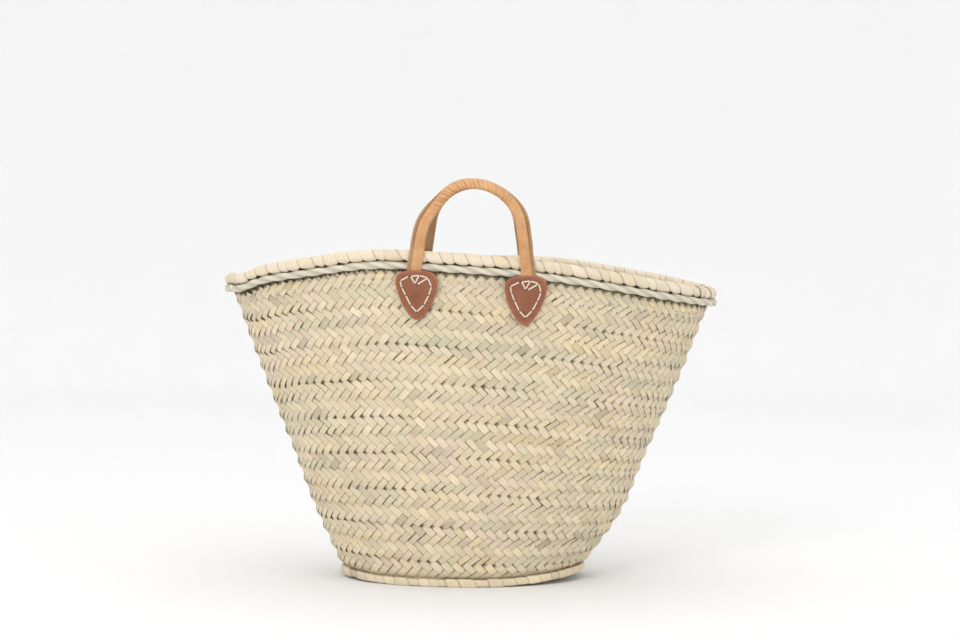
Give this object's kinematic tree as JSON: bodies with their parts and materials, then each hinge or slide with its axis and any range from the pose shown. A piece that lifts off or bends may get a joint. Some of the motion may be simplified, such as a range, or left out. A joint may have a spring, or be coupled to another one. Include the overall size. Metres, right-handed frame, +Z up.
{
  "type": "woven market basket",
  "caption": "Flared oval shopping basket plaited from palm leaf, with a wound rim, flat base and two leather-covered carrying handles.",
  "frame": {"origin": "on the ground, under the middle of the mouth", "axes": "+X along the mouth to the right, +Y from front to back, +Z up"},
  "size_m": [0.5212, 0.2632, 0.43],
  "materials": {
    "palm_leaf": "dry, satin plaited leaf",
    "rim_leaf": "pale wound leaf",
    "leaf_cord": "twisted leaf cord",
    "rope": "laid plant-fibre rope",
    "tan_leather": "vegetable-tanned, satin",
    "brown_leather": "reddish brown, waxed",
    "thread": "waxed white thread"
  },
  "bodies": {
    "basket": {"base_centre": "palm_leaf", "base_turn_1": "palm_leaf", "base_turn_2": "palm_leaf", "base_edge": "rim_leaf", "base_seam_cords": "leaf_cord", "wall_turn_1": "palm_leaf", "wall_turn_2": "palm_leaf", "wall_turn_3": "palm_leaf", "wall_turn_4": "palm_leaf", "wall_turn_5": "palm_leaf", "wall_turn_6": "palm_leaf", "wall_turn_7": "palm_leaf", "wall_turn_8": "palm_leaf", "wall_turn_9": "palm_leaf", "wall_seam_cords": "leaf_cord", "rim_core": "palm_leaf", "rim_wrap": "rim_leaf", "rim_cord": "leaf_cord", "front_left_strap_end": "tan_leather", "front_left_patch": "brown_leather", "front_left_stitches": "thread", "front_right_strap_end": "tan_leather", "front_right_patch": "brown_leather", "front_right_stitches": "thread", "back_left_strap_end": "tan_leather", "back_left_patch": "brown_leather", "back_left_stitches": "thread", "back_right_strap_end": "tan_leather", "back_right_patch": "brown_leather", "back_right_stitches": "thread"},
    "front_handle": {"front_handle_core": "rope", "front_handle_cover": "tan_leather"},
    "back_handle": {"back_handle_core": "rope", "back_handle_cover": "tan_leather"}
  },
  "joints": [
    {"name": "front_handle_swing", "type": "hinge", "parent": "basket", "child": "front_handle", "pos_m": [0, -0.12629, 0.34318], "axis": [1, 0, 0], "range_deg": [-75, 100], "stiffness_Nm_per_rad": 0.12},
    {"name": "back_handle_swing", "type": "hinge", "parent": "basket", "child": "back_handle", "pos_m": [0.004, 0.12627, 0.34872], "axis": [-1, 0, 0], "range_deg": [-75, 100], "stiffness_Nm_per_rad": 0.12}
  ]
}
